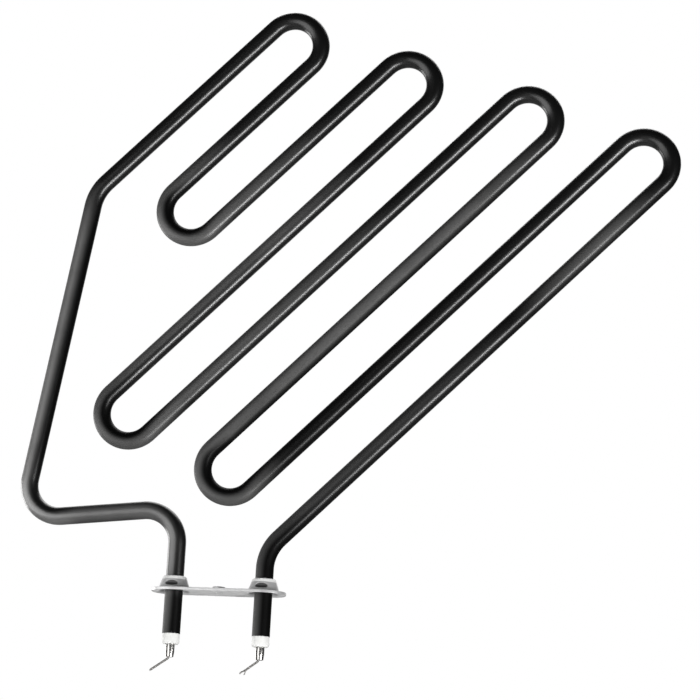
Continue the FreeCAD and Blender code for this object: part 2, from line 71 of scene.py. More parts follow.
class Graph:
    """A material's or world's node tree, filled through one method."""

    NOISE_ROUGHNESS = 0.55

    def __init__(self, tree: bpy.types.NodeTree) -> None:
        """Takes the node tree to fill, and empties it."""
        self.tree = tree
        tree.nodes.clear()

    def node(
        self,
        kind: str,
        settings: dict | None = None,
        output: int | str = 0,
        **sockets: "Wire | float | Triple",
    ) -> "Wire":
        """Adds a node.

        Args:
            kind: the node's type.
            settings: properties set before any socket, and the marks of a ramp as "stops".
            output: the output that the returned wire leads from.
            sockets: input values or wires. A name like In_Color means "In Color", and _0 means
                input 0.

        Returns:
            A wire from the chosen output.
        """
        made = self.tree.nodes.new(kind)
        for name, value in (settings or {}).items():
            if name == "stops":
                self.shape(made.color_ramp, value)
            else:
                setattr(made, name, value)
        for name, value in sockets.items():
            key = int(name[1:]) if name[1:].isdigit() and name[0] == "_" else name.replace("_", " ")
            self.feed(made.inputs[key], value)
        return Wire(self, made.outputs[output] if made.outputs else None)

    def shape(self, curve: bpy.types.ColorRamp, marks: tuple[Pair, ...]) -> None:
        """Sets a ramp's marks.

        Args:
            curve: the ramp, which already has a mark at each end.
            marks: the place and the share of each mark, from 0.0 to 1.0.
        """
        for at, _ in marks[1:-1]:
            curve.elements.new(at)
        for element, (_, share) in zip(curve.elements, marks):
            element.color = (share, share, share, 1.0)

    def feed(self, socket: bpy.types.NodeSocket, value: "Wire | float | Triple") -> None:
        """Links or sets one input.

        Args:
            socket: the input.
            value: a wire, or the input's own value.
        """
        if isinstance(value, Wire):
            self.tree.links.new(value.socket, socket)
        elif isinstance(value, (tuple, list)) and len(value) == 3 and socket.type == "RGBA":
            socket.default_value = (*value, 1.0)
        else:
            socket.default_value = value

    def place(self) -> "Wire":
        """Returns the object coordinates, in metres."""
        return self.node("ShaderNodeTexCoord", output="Object")

    def attribute(self, name: str, output: str = "Fac") -> "Wire":
        """Returns an attribute stored on the mesh."""
        return self.node("ShaderNodeAttribute", {"attribute_name": name}, output)

    def noise(self, where: "Wire", size: float, detail: float = 3.0) -> "Wire":
        """Returns noise whose main features are about size metres across."""
        values = {"Scale": 1.0 / size, "Detail": detail, "Roughness": self.NOISE_ROUGHNESS}
        return self.node("ShaderNodeTexNoise", Vector=where, **values)

    def stretch(self, where: "Wire", scale: Triple) -> "Wire":
        """Returns a vector with each part multiplied."""
        return self.node("ShaderNodeVectorMath", {"operation": "MULTIPLY"}, _0=where, _1=scale)

    def blend(
        self, share: "Wire | float", first: "Wire | Triple", second: "Wire | Triple"
    ) -> "Wire":
        """Returns a colour that goes from first to second as share goes from 0 to 1."""
        colours = {"_6": first, "_7": second}
        return self.node("ShaderNodeMix", {"data_type": "RGBA"}, 2, Factor=share, **colours)

    def bump(self, height: "Wire", depth: float) -> "Wire":
        """Returns a normal for a height between 0 and 1 that stands depth metres tall."""
        return self.node("ShaderNodeBump", Height=height, Distance=depth, Strength=1.0)

    def curve(self, place: "Wire", marks: tuple[Pair, ...]) -> "Wire":
        """Returns a share that goes from one mark to the next along a place between 0 and 1."""
        return self.node("ShaderNodeValToRGB", {"stops": marks}, _0=place)

    def part(self, vector: "Wire", axis: int) -> "Wire":
        """Returns one part of a vector."""
        return self.node("ShaderNodeSeparateXYZ", None, axis, _0=vector)


class Wire:
    """An output socket that does arithmetic by adding Math nodes."""

    def __init__(self, graph: Graph, socket: bpy.types.NodeSocket) -> None:
        """Wraps an output socket of the graph."""
        self.graph = graph
        self.socket = socket

    def math(
        self, operation: str, *others: "Wire | float", first: float | None = None
    ) -> "Wire":
        """Adds a Math node.

        Args:
            operation: the node's operation.
            others: values or wires for its later inputs.
            first: a value that goes before this wire, if there is one.

        Returns:
            A wire from the result.
        """
        values = ([] if first is None else [first]) + [self, *others]
        sockets = {f"_{index}": value for index, value in enumerate(values)}
        return self.graph.node("ShaderNodeMath", {"operation": operation}, **sockets)

    def __add__(self, other: "Wire | float") -> "Wire":
        """Sum."""
        return self.math("ADD", other)

    def __radd__(self, other: "Wire | float") -> "Wire":
        """Sum with a number on the left."""
        return self.math("ADD", first=other)

    def __sub__(self, other: "Wire | float") -> "Wire":
        """Difference."""
        return self.math("SUBTRACT", other)

    def __rsub__(self, other: "Wire | float") -> "Wire":
        """Difference from a number."""
        return self.math("SUBTRACT", first=other)

    def __mul__(self, other: "Wire | float") -> "Wire":
        """Product."""
        return self.math("MULTIPLY", other)

    def __rmul__(self, other: "Wire | float") -> "Wire":
        """Product with a number on the left."""
        return self.math("MULTIPLY", first=other)

    def __truediv__(self, other: "Wire | float") -> "Wire":
        """Quotient."""
        return self.math("DIVIDE", other)

    def __rtruediv__(self, other: "Wire | float") -> "Wire":
        """Quotient of a number."""
        return self.math("DIVIDE", first=other)

    def ramp(self, low: float, high: float, start: float = 0.0, end: float = 1.0) -> "Wire":
        """Returns start below low, end above high, and a smooth change between."""
        limits = {"From_Min": low, "From_Max": high, "To_Min": start, "To_Max": end}
        smooth = {"interpolation_type": "SMOOTHSTEP"}
        return self.graph.node("ShaderNodeMapRange", smooth, Value=self, **limits)


# Finishes


@dataclass(frozen=True)
class Finish:
    """What the finishes share: a name, the surface's constants, and clouds and lines in it.

    Here and in each finish, a size is how far apart the marks of a pattern lie, levels are the
    noise at which a mark begins and is full, a stretch below 1 draws the marks out along the
    metal, and a shade is what the colour is multiplied by.
    """

    name: str
    colour: Triple
    roughness: float
    metallic: float = 0.0
    cloud_size: float = 5 * MM
    cloud_levels: Pair = (0.35, 0.7)
    cloud_shade: float = 0.86
    cloud_roughness: float = 0.14
    line_roughness: float = 0.08

    def title(self) -> str:
        """Returns the material's own name, apart from that of the frame's plain material."""
        return f"{self.name}_finish"

    def build(self) -> bpy.types.Material:
        """Makes the material, and returns it."""
        material = bpy.data.materials.new(self.title())
        material.use_nodes = True
        graph = Graph(material.node_tree)
        sockets = {"Metallic": self.metallic} | self.layers(graph)
        surface = graph.node("ShaderNodeBsdfPrincipled", **sockets)
        graph.node("ShaderNodeOutputMaterial", Surface=surface)
        return material

    def layers(self, graph: Graph) -> dict:
        """Returns the shader's inputs by name. Each finish has its own way."""
        raise NotImplementedError

    def clouded(self, graph: Graph, cloud: Wire) -> Wire:
        """Returns the colour, darker in the clouds."""
        shade = tuple(part * self.cloud_shade for part in self.colour)
        return graph.blend(cloud.ramp(*self.cloud_levels), self.colour, shade)

    def uneven(self, cloud: Wire, lines: Wire) -> Wire:
        """Returns the roughness, varied a little by the clouds and the lines."""
        rough = self.roughness + (cloud - 0.5) * self.cloud_roughness
        return rough + (lines - 0.5) * self.line_roughness


@dataclass(frozen=True)
class BlackSheath(Finish):
    """Steel tube with a matt black oxide skin, glossy in stretches, with a painted sheen in others.

    The marks of gloss and of the painted sheen are shares of the tube's length, from the left tail
    to the right one. The painted sheen is a half metallic grey laid on one flank of the tube, where
    light falls on it: the sheen flank says where across the tube it lies: 1 is the left side of
    someone who walks along the tube, 0 the right. The sheen's reach is where it starts to fade and
    where it ends, in tube radii from there. The worn colour shows where the skin is rubbed.
    """

    worn: Triple = (0.03, 0.03, 0.029)
    # Painted sheen: a half metallic grey on one flank of the tube, standing in for light reflected
    # there.
    sheen_colour: Triple = (0.2, 0.199, 0.197)
    sheen_metallic: float = 0.8
    skin_level: float = 0.05
    gloss_index: float = 1.7
    gloss_roughness: float = 0.31
    grain_size: float = 0.3 * MM
    grain_depth: float = 0.4e-6
    line_size: float = 0.5 * MM
    line_stretch: Triple = (0.02, 1.0, 1.0)
    cloud_size: float = 22 * MM
    cloud_roughness: float = 0.1
    sheen_clouds: tuple[float, ...] = (0.2, 0.6, 0.75, 1.0)
    gloss_clouds: tuple[float, ...] = (0.25, 0.55, 0.85, 1.0)
    speck_size: float = 0.9 * MM
    speck_levels: Pair = (0.66, 0.74)
    speck_wear: float = 0.08
    rub_size: float = 3.2 * MM
    rub_stretch: Triple = (0.12, 1.0, 1.0)
    rub_levels: Pair = (0.66, 0.75)
    rub_wear: float = 0.16
    length: float = 2.2376
    radius: float = 4.5 * MM
    sheen_reach: Pair = (0.15, 1.15)
    gloss: tuple[Pair, ...] = (
        (0.0, 0.03), (0.01, 0.05), (0.013, 1.0), (0.026, 0.9), (0.033, 0.6), (0.049, 0.6),
        (0.054, 1.0), (0.062, 0.9), (0.072, 0.1), (0.126, 0.1), (0.137, 0.85),
        (0.245, 0.75), (0.258, 0.12), (0.268, 0.12), (0.282, 0.7), (0.375, 0.7),
        (0.388, 1.0), (0.44, 0.9), (0.452, 0.12), (0.466, 0.12), (0.49, 0.6), (0.57, 0.75),
        (0.6, 0.9), (0.625, 0.03), (0.7, 0.03), (0.73, 0.12), (0.84, 0.9), (0.868, 0.2),
        (0.925, 0.6), (0.965, 0.3), (0.98, 0.0), (1.0, 0.0),
    )
    # Where along the tube the painted sheen lies.
    painted_sheen: tuple[Pair, ...] = (
        (0.0, 0.5), (0.009, 0.5), (0.013, 0.45), (0.026, 0.4), (0.034, 0.6), (0.048, 0.6),
        (0.055, 1.0), (0.068, 1.0), (0.12, 1.0), (0.136, 0.0), (0.236, 0.0), (0.256, 0.65),
        (0.272, 0.65), (0.295, 0.3), (0.31, 0.0), (0.372, 0.0), (0.388, 0.4), (0.41, 0.5),
        (0.448, 0.55), (0.47, 0.5), (0.52, 0.3), (0.545, 0.0), (0.6, 0.0), (0.625, 0.6),
        (0.67, 0.65), (0.706, 0.55), (0.722, 0.5), (0.735, 0.0), (0.862, 0.0),
        (0.878, 0.5), (0.905, 0.0), (1.0, 0.4),
    )
    # Where across the tube the painted sheen lies.
    sheen_flank: tuple[Pair, ...] = (
        (0.0, 0.95), (0.024, 0.8), (0.034, 0.55), (0.047, 0.55), (0.056, 0.95),
        (0.064, 0.76), (0.12, 0.7), (0.13, 0.65), (0.25, 0.4), (0.258, 0.08), (0.27, 0.1),
        (0.28, 0.5), (0.32, 0.5), (0.4, 0.3), (0.452, 0.08), (0.466, 0.1), (0.48, 0.55),
        (0.6, 0.5), (0.7, 0.45), (0.708, 0.12), (0.722, 0.12), (0.735, 0.5), (0.9, 0.5),
        (0.965, 0.2), (0.98, 0.05), (1.0, 0.05),
    )

    def layers(self, graph: Graph) -> dict:
        """Wires up what changes over the surface.

        Args:
            graph: the material's graph.

        Returns:
            The shader's inputs by name.
        """
        place = graph.place()
        along = graph.attribute("tube_place", "Vector")
        share = graph.part(along, 0) / self.length
        drawn = graph.noise(graph.stretch(along, self.line_stretch), self.line_size, detail=4.0)
        cloud = graph.noise(place, self.cloud_size, detail=4.0)
        speck = graph.noise(place, self.speck_size, detail=2.0).ramp(*self.speck_levels)
        rubbed = graph.noise(graph.stretch(along, self.rub_stretch), self.rub_size, detail=5.0)
        rub = rubbed.ramp(*self.rub_levels)
        wear = (rub * self.rub_wear + speck * self.speck_wear).math("MINIMUM", 1.0)
        middle = graph.curve(share, self.sheen_flank) * 2.0 - 1.0
        astray = (graph.part(along, 1) / self.radius - middle).math("ABSOLUTE")
        near = astray.ramp(*self.sheen_reach, 1.0, 0.0)
        # The painted sheen, along its stretches and on its flank.
        painted_sheen = graph.curve(share, self.painted_sheen) * near * cloud.ramp(*self.sheen_clouds)
        # The skin's colour, with the painted sheen in it.
        skin = graph.blend(painted_sheen, self.colour, self.sheen_colour)
        gloss = graph.curve(share, self.gloss) * cloud.ramp(*self.gloss_clouds)
        return {
            "Base_Color": graph.blend(wear, skin, self.worn),
            "Roughness": self.uneven(cloud, drawn),
            "Metallic": painted_sheen * self.sheen_metallic,
            "Specular_IOR_Level": self.skin_level,
            "Coat_Weight": gloss * (1.0 - wear),
            "Coat_Roughness": self.gloss_roughness,
            "Coat_IOR": self.gloss_index,
            "Normal": graph.bump(graph.noise(place, self.grain_size, detail=2.0), self.grain_depth),
        }


@dataclass(frozen=True)
class ZincSheet(Finish):
    """Zinc-plated sheet with rolled lines and faint clouds, with painted shade in the pressed
    dents.

    The mesh's rim highlight marks the collar rims that get a painted highlight, and its shade the
    dents that get painted shade.
    """

    # Painted shade in the dents that the die pressed into the collars.
    dent_shade: Triple = (0.07, 0.07, 0.07)
    # Painted highlight on the collar rims, standing in for light on their rounded tops.
    painted_highlight: Triple = (0.96, 0.96, 0.95)
    # Less metal where the painted highlight lies, so that it reads white.
    highlight_metal_loss: float = 0.8
    cloud_levels: Pair = (0.3, 0.7)
    cloud_roughness: float = 0.16
    line_size: float = 0.35 * MM
    line_stretch: Triple = (0.03, 1.0, 1.0)
    line_roughness: float = 0.1
    line_share: float = 0.6
    grain_size: float = 0.4 * MM
    relief: float = 4e-6

    def layers(self, graph: Graph) -> dict:
        """Wires up what changes over the surface.

        Args:
            graph: the material's graph.

        Returns:
            The shader's inputs by name.
        """
        place = graph.place()
        rolled = graph.noise(graph.stretch(place, self.line_stretch), self.line_size, detail=4.0)
        cloud = graph.noise(place, self.cloud_size, detail=4.0)
        grain = graph.noise(place, self.grain_size, detail=2.0)
        rim_highlight = graph.attribute("rim_highlight")
        # Painted highlight: the collar rims turn near white.
        highlighted = graph.blend(rim_highlight, self.clouded(graph, cloud), self.painted_highlight)
        height = rolled * self.line_share + grain * (1 - self.line_share)
        return {
            # Painted shade in the dents, where the mesh's shade marks them.
            "Base_Color": graph.blend(graph.attribute("shade"), highlighted, self.dent_shade),
            "Roughness": self.uneven(cloud, rolled),
            "Metallic": self.metallic * (1.0 - rim_highlight * self.highlight_metal_loss),
            "Normal": graph.bump(height, self.relief),
        }


@dataclass(frozen=True)
class Ceramic(Finish):
    """Unglazed pressed ceramic or powder, fine-grained, with a little grime."""

    cloud_size: float = 2.6 * MM
    cloud_shade: float = 0.93
    grain_size: float = 0.22 * MM
    grain_depth: float = 6e-6
    grain_roughness: float = 0.15
    grime: Triple = (0.42, 0.4, 0.36)
    grime_size: float = 0.6 * MM
    grime_levels: Pair = (0.68, 0.76)
    grime_share: float = 0.3

    def layers(self, graph: Graph) -> dict:
        """Wires up what changes over the surface.

        Args:
            graph: the material's graph.

        Returns:
            The shader's inputs by name.
        """
        place = graph.place()
        grain = graph.noise(place, self.grain_size)
        cloud = graph.noise(place, self.cloud_size, detail=4.0)
        specks = graph.noise(place, self.grime_size, detail=2.0).ramp(*self.grime_levels)
        clean = self.clouded(graph, cloud)
        return {
            "Base_Color": graph.blend(specks * self.grime_share, clean, self.grime),
            "Roughness": self.roughness + (grain - 0.5) * self.grain_roughness,
            "Normal": graph.bump(grain, self.grain_depth),
        }


@dataclass(frozen=True)
class PlatedMetal(Finish):
    """Bright plated or bare metal with drawn lines down its length, with painted shade inside.

    The mesh's shade marks where shade is painted inside, unless it is painted between two heights.
    """

    cloud_size: float = 1.4 * MM
    cloud_shade: float = 0.84
    line_size: float = 0.16 * MM
    line_stretch: Triple = (1.0, 1.0, 0.06)
    line_depth: float = 1.2e-6
    # Painted shade, for the inside of a sleeve and the metal that lies within it.
    inside_shade: Triple = (0.02, 0.02, 0.02)
    # Heights between which shade is painted, where the metal lies inside the sleeve.
    shade_heights: Pair | None = None
    shade_edge: float = 0.3 * MM

    def layers(self, graph: Graph) -> dict:
        """Wires up what changes over the surface.

        Args:
            graph: the material's graph.

        Returns:
            The shader's inputs by name.
        """
        place = graph.place()
        lines = graph.noise(graph.stretch(place, self.line_stretch), self.line_size)
        cloud = graph.noise(place, self.cloud_size)
        # Painted shade: between the given heights, else where the mesh's shade marks it.
        dark = self.shade_between(graph.part(place, 2)) if self.shade_heights else graph.attribute("shade")
        return {
            "Base_Color": graph.blend(dark, self.clouded(graph, cloud), self.inside_shade),
            "Roughness": self.uneven(cloud, lines),
            "Normal": graph.bump(lines, self.line_depth),
        }

    def shade_between(self, height: Wire) -> Wire:
        """Returns 1 between the two heights of the painted shade, and 0 away from them."""
        low, high = self.shade_heights
        above = height.ramp(low - self.shade_edge, low)
        return above * height.ramp(high, high + self.shade_edge, 1.0, 0.0)


class Slot(Enum):
    """The material slots, each with its finish."""

    BLACK_SHEATH = BlackSheath("black_sheath", (0.002, 0.002, 0.002), 0.54)
    MAGNESIA = Ceramic("magnesia", (0.82, 0.81, 0.78), 0.85)
    RESISTANCE_WIRE = PlatedMetal("resistance_wire", (0.35, 0.34, 0.32), 0.6)
    ZINC_SHEET = ZincSheet("zinc_sheet", (0.78, 0.78, 0.78), 0.42, 0.55)
    # Painted shade on the pin where it lies inside the sleeve.
    PIN_STEEL = PlatedMetal(
        "pin_steel", (0.5, 0.5, 0.5), 0.35, 1.0, shade_heights=(-31 * MM, -26 * MM)
    )
    SEAL_RESIN = Ceramic("seal_resin", (0.75, 0.73, 0.68), 0.6)
    WHITE_CERAMIC = Ceramic("white_ceramic", (0.86, 0.86, 0.84), 0.62)
    NICKEL_SLEEVE = PlatedMetal("nickel_sleeve", (0.62, 0.61, 0.59), 0.28, 1.0)
    # Painted shade on the lead where it lies inside the sleeve.
    LEAD_WIRE = PlatedMetal(
        "lead_wire", (0.3, 0.29, 0.28), 0.5, 1.0, shade_heights=(-32.4 * MM, -28 * MM)
    )

    def material(self) -> bpy.types.Material:
        """Returns the slot's material, made the first time it is asked for."""
        return bpy.data.materials.get(self.value.title()) or self.value.build()


# Mesh pieces


def only(kind: type, items: list) -> list:
    """Returns those of the items that are of one kind."""
    return [item for item in items if isinstance(item, kind)]


def add_object(name: str, data: bpy.types.ID) -> bpy.types.Object:
    """Puts data into the scene as an object, and returns it."""
    made = bpy.data.objects.new(name, data)
    bpy.context.scene.collection.objects.link(made)
    return made


class Piece:
    """A mesh piece under construction, in the row frame."""

    MERGED_WITHIN = 1e-7

    def __init__(self, name: str, slot: Slot) -> None:
        """Starts an empty piece.

        Args:
            name: the name of the finished object.
            slot: the slot that its finish belongs to.
        """
        self.name = name
        self.slot = slot
        self.bm = bmesh.new()

    def ring(self, radius: float, place: Matrix, segments: int) -> list:
        """Adds a circle without a face.

        Args:
            radius: its radius.
            place: the frame whose XY plane it lies in.
            segments: the number of its edges.

        Returns:
            Its edges.
        """
        made = bmesh.ops.create_circle(
            self.bm, cap_ends=False, radius=radius, segments=segments, matrix=place
        )
        return list(dict.fromkeys(edge for vert in made["verts"] for edge in vert.link_edges))

    def push(self, edges: list, by: Vector, grow: float = 1.0) -> list:
        """Extrudes a loop of edges.

        Args:
            edges: the loop.
            by: how far the new loop moves.
            grow: how much it is scaled about its middle.

        Returns:
            The new loop's edges.
        """
        made = bmesh.ops.extrude_edge_only(self.bm, edges=edges)["geom"]
        verts = only(bmesh.types.BMVert, made)
        bmesh.ops.translate(self.bm, verts=verts, vec=by)
        if grow != 1.0:
            middle = sum((vert.co for vert in verts), Vector()) / len(verts)
            space = Matrix.Translation(-middle)
            bmesh.ops.scale(self.bm, verts=verts, vec=(grow, grow, grow), space=space)
        return only(bmesh.types.BMEdge, made)

    def cap(self, edges: list) -> None:
        """Closes a loop of edges with one face."""
        bmesh.ops.contextual_create(self.bm, geom=edges)

    def section(self, profile: list[Vector], closed: bool) -> list:
        """Adds a line of edges.

        Args:
            profile: the points that it goes through.
            closed: whether the last point joins the first.

        Returns:
            Its verts and edges.
        """
        verts = [self.bm.verts.new(point) for point in profile]
        pairs = list(zip(verts, verts[1:]))
        if closed:
            pairs.append((verts[-1], verts[0]))
        return verts + [self.bm.edges.new(pair) for pair in pairs]

    def turned(
        self, profile: list[Vector], centre: Vector, segments: int, closed: bool = True
    ) -> None:
        """Spins a profile right round a vertical axis.

        Args:
            profile: the section's points, in the XZ plane through the axis.
            centre: a point on the axis.
            segments: the number of steps in a whole turn.
            closed: whether the section's last point joins its first.
        """
        bmesh.ops.spin(
            self.bm,
            geom=self.section([centre + point for point in profile], closed),
            cent=centre,
            axis=UP,
            angle=math.tau,
            steps=segments,
            use_merge=True,
        )

    def rolled(
        self, profile: list[Vector], centre: Vector, start: float, angle: float, steps: int
    ) -> None:
        """Spins a closed profile part of the way round a vertical axis, and closes both ends.

        Args:
            profile: the section's points, in the XZ plane through the axis.
            centre: a point on the axis.
            start: where the spin starts, in radians from +X.
            angle: how far it goes.
            steps: the number of steps.
        """
        turn = Matrix.Rotation(start, 3, "Z")
        first = self.section([centre + turn @ point for point in profile], True)
        made = bmesh.ops.spin(self.bm, geom=first, cent=centre, axis=UP, angle=angle, steps=steps)
        for end in (first, made["geom_last"]):
            self.cap(only(bmesh.types.BMEdge, end))

    def strung(self, frames: list[Matrix], radius: float, sides: int) -> None:
        """Draws a closed round wire.

        Args:
            frames: the frames it runs through, each with its z axis along the wire.
            radius: the wire's radius.
            sides: the number of its sides.
        """
        first = edges = self.ring(radius, frames[0], sides)
        for before, after in zip(frames, frames[1:]):
            edges = self.push(edges, Vector())
            verts = list(dict.fromkeys(vert for edge in edges for vert in edge.verts))
            bmesh.ops.transform(self.bm, matrix=after @ before.inverted(), verts=verts)
        self.cap(first)
        self.cap(edges)

    def finish(self, smooth: float = 32.0) -> bpy.types.Object:
        """Turns the piece into an object that rides on the part.

        Args:
            smooth: edges flatter than this many degrees are shaded smooth.

        Returns:
            The object.
        """
        bmesh.ops.remove_doubles(self.bm, verts=self.bm.verts, dist=self.MERGED_WITHIN)
        bmesh.ops.recalc_face_normals(self.bm, faces=self.bm.faces)
        for face in self.bm.faces:
            face.smooth = True
        limit = math.radians(smooth)
        for edge in self.bm.edges:
            edge.smooth = len(edge.link_faces) == 2 and edge.calc_face_angle(0) < limit
        mesh = bpy.data.meshes.new(self.name)
        self.bm.to_mesh(mesh)
        self.bm.free()
        mesh.materials.append(self.slot.material())
        made = add_object(self.name, mesh)
        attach(made, "root")
        return made


def toward(angle: float) -> tuple[Vector, Vector]:
    """Returns the direction at an angle from +X in the XZ plane, and the one to its left."""
    x, z = math.cos(angle), math.sin(angle)
    return Vector((x, 0, z)), Vector((-z, 0, x))


@dataclass(frozen=True)
class Run:
    """One step of the bend table: a straight length, or an arc of a radius and a turn.

    The turn is in degrees, to the left for a positive one.
    """

    length: float = 0.0
    radius: float = 0.0
    turn: float = 0.0


@dataclass
class BentTube:
    """The long tube, built as it is bent: drawn out on each straight and spun round each bend.

    Its sizes stand in the order that it is bent in. Slopes are in degrees.
    """

    diameter: float = 9.0 * MM
    wall: float = 0.7 * MM
    left_rise: float = 24.2 * MM
    left_bend: float = 16.5 * MM
    shoulder_slope: float = 5.5
    shoulder: float = 43 * MM
    shoulder_bend: float = 16.5 * MM
    side_lean: float = 8.535
    side: float = 146.306 * MM
    side_bend: float = 23 * MM
    row_angle: float = 45.0
    rows: tuple[float, ...] = (119.5, 97, 125, 219, 250, 231, 257, 262.5)
    row_bend: float = 14.5 * MM
    right_bend: float = 22 * MM
    right_rise: float = 12.8 * MM
    sides: int = 48
    bend_step: float = 3.0
    mouth_depth: float = 3.9 * MM

    def __post_init__(self) -> None:
        """Starts the mesh, and the list of where each step of the bend table begins."""
        self.piece = Piece("sheath_tube_bent", Slot.BLACK_SHEATH)
        self.marks: list[tuple[Run, float, Vector, float]] = []

    def bend_table(self) -> list[Run]:
        """Returns the steps from the left tail to the right tail."""
        steps = [
            Run(LEG_TAIL + self.left_rise),
            Run(radius=self.left_bend, turn=90 + self.shoulder_slope),
            Run(self.shoulder),
            Run(radius=self.shoulder_bend, turn=-90 - self.shoulder_slope - self.side_lean),
            Run(self.side),
            Run(radius=self.side_bend, turn=self.side_lean + self.row_angle - 90),
        ]
        turn = -180.0
        for length in self.rows:
            steps += [Run(length * MM), Run(radius=self.row_bend, turn=turn)]
            turn = -turn
        steps[-1] = Run(radius=self.right_bend, turn=90 - self.row_angle)
        return steps + [Run(self.right_rise + LEG_TAIL)]

    def build(self) -> bpy.types.Object:
        """Builds the tube, and returns its object."""
        spot = Vector((-LEG_SPACING / 2, 0, -LEG_TAIL))
        heading = math.pi / 2
        gone = 0.0
        first = edges = self.piece.ring(self.diameter / 2, Matrix.Translation(spot), self.sides)
        for step in self.bend_table():
            self.marks.append((step, gone, spot, heading))
            edges, spot, heading, length = self.follow(edges, step, spot, heading)
            gone += length
        self.mouth(first)
        self.mouth(edges)
        self.store_places()
        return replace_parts(self.piece.finish(), "sheath_tube")

    def follow(self, edges: list, step: Run, spot: Vector, heading: float) -> tuple:
        """Makes one step of the bend table.

        Args:
            edges: the open end of the tube.
            step: the step to make.
            spot: where the open end is.
            heading: its direction in the XZ plane, in radians from +X.

        Returns:
            The new open end, its place and direction, and the length gone.
        """
        ahead, aside = toward(heading)
        if step.length:
            edges = self.piece.push(edges, ahead * step.length)
            return edges, spot + ahead * step.length, heading, step.length
        centre = spot + aside * math.copysign(step.radius, step.turn)
        angle = math.radians(step.turn)
        made = bmesh.ops.spin(
            self.piece.bm,
            geom=edges,
            cent=centre,
            axis=-ACROSS,
            angle=angle,
            steps=max(2, round(abs(step.turn) / self.bend_step)),
        )["geom_last"]
        spot = centre + Matrix.Rotation(-angle, 3, "Y") @ (spot - centre)
        return only(bmesh.types.BMEdge, made), spot, heading + angle, step.radius * abs(angle)

    def mouth(self, edges: list) -> None:
        """Turns an open end in over the wall and up the bore, and closes it there.

        Args:
            edges: the open end.
        """
        edges = self.piece.push(edges, Vector(), 1 - 2 * self.wall / self.diameter)
        self.piece.cap(self.piece.push(edges, UP * self.mouth_depth))

    def store_places(self) -> None:
        """Stores each point's length along the tube and its place round it, for the finish."""
        layer = self.piece.bm.verts.layers.float_vector.new("tube_place")
        for vert in self.piece.bm.verts:
            vert[layer] = self.place_of(vert.co)

    def place_of(self, point: Vector) -> Vector:
        """Finds where on the tube a point lies.

        Args:
            point: a point of the tube's skin.

        Returns:
            The length along the tube, and the offsets to the left of it and square to its flat.
        """
        best = (math.inf, Vector())
        for step, gone, spot, heading in self.marks:
            ahead, aside = toward(heading)
            if step.length:
                reach = min(max((point - spot).dot(ahead), 0), step.length)
                middle, left = spot + ahead * reach, aside
            else:
                side = math.copysign(1, step.turn)
                centre = spot + aside * side * step.radius
                local = point - centre
                swept = math.atan2(local.dot(ahead), -side * local.dot(aside))
                swept = min(max(swept, 0), math.radians(abs(step.turn)))
                reach = step.radius * swept
                left = aside * math.cos(swept) - ahead * side * math.sin(swept)
                middle = centre - left * side * step.radius
            gap = Vector((point.x - middle.x, 0, point.z - middle.z))
            if gap.length < best[0]:
                best = (gap.length, Vector((gone + reach, gap.dot(left), point.y)))
        return best[1]


def soften(corners: list[Pair], radius: float, steps: int = 3) -> list[Vector]:
    """Rounds the corners of a closed section.

    Args:
        corners: radius and height of each corner.
        radius: how far from a corner its rounding starts, or less on a short side.
        steps: the number of edges in each rounding.

    Returns:
        The section's points in the XZ plane.
    """
    side_share = 0.4
    places = [Vector((x, 0, z)) for x, z in corners]
    points = []
    for index, corner in enumerate(places):
        before = places[index - 1] - corner
        after = places[(index + 1) % len(places)] - corner
        start = corner + before.normalized() * min(radius, before.length * side_share)
        end = corner + after.normalized() * min(radius, after.length * side_share)
        for step in range(steps + 1):
            share = step / steps
            points.append(start.lerp(corner, share).lerp(corner.lerp(end, share), share))
    return points


def arc(centre: Pair, radius: float, first: float, last: float, steps: int) -> list[Vector]:
    """Makes an arc in the XZ plane.

    Args:
        centre: x and z of its centre.
        radius: its radius.
        first: the angle that it starts at, in degrees from +X.
        last: the angle that it ends at.
        steps: the number of its edges.

    Returns:
        Its points.
    """
    middle = Vector((centre[0], 0, centre[1]))
    angles = [math.radians(first + (last - first) * step / steps) for step in range(steps + 1)]
    return [middle + toward(angle)[0] * radius for angle in angles]


def incline(start: Vector, end: Vector, step: float) -> list[Vector]:
    """Returns evenly spaced points from start to end, about a step apart."""
    count = max(1, round((end - start).length / step))
    return [start.lerp(end, index / count) for index in range(count + 1)]


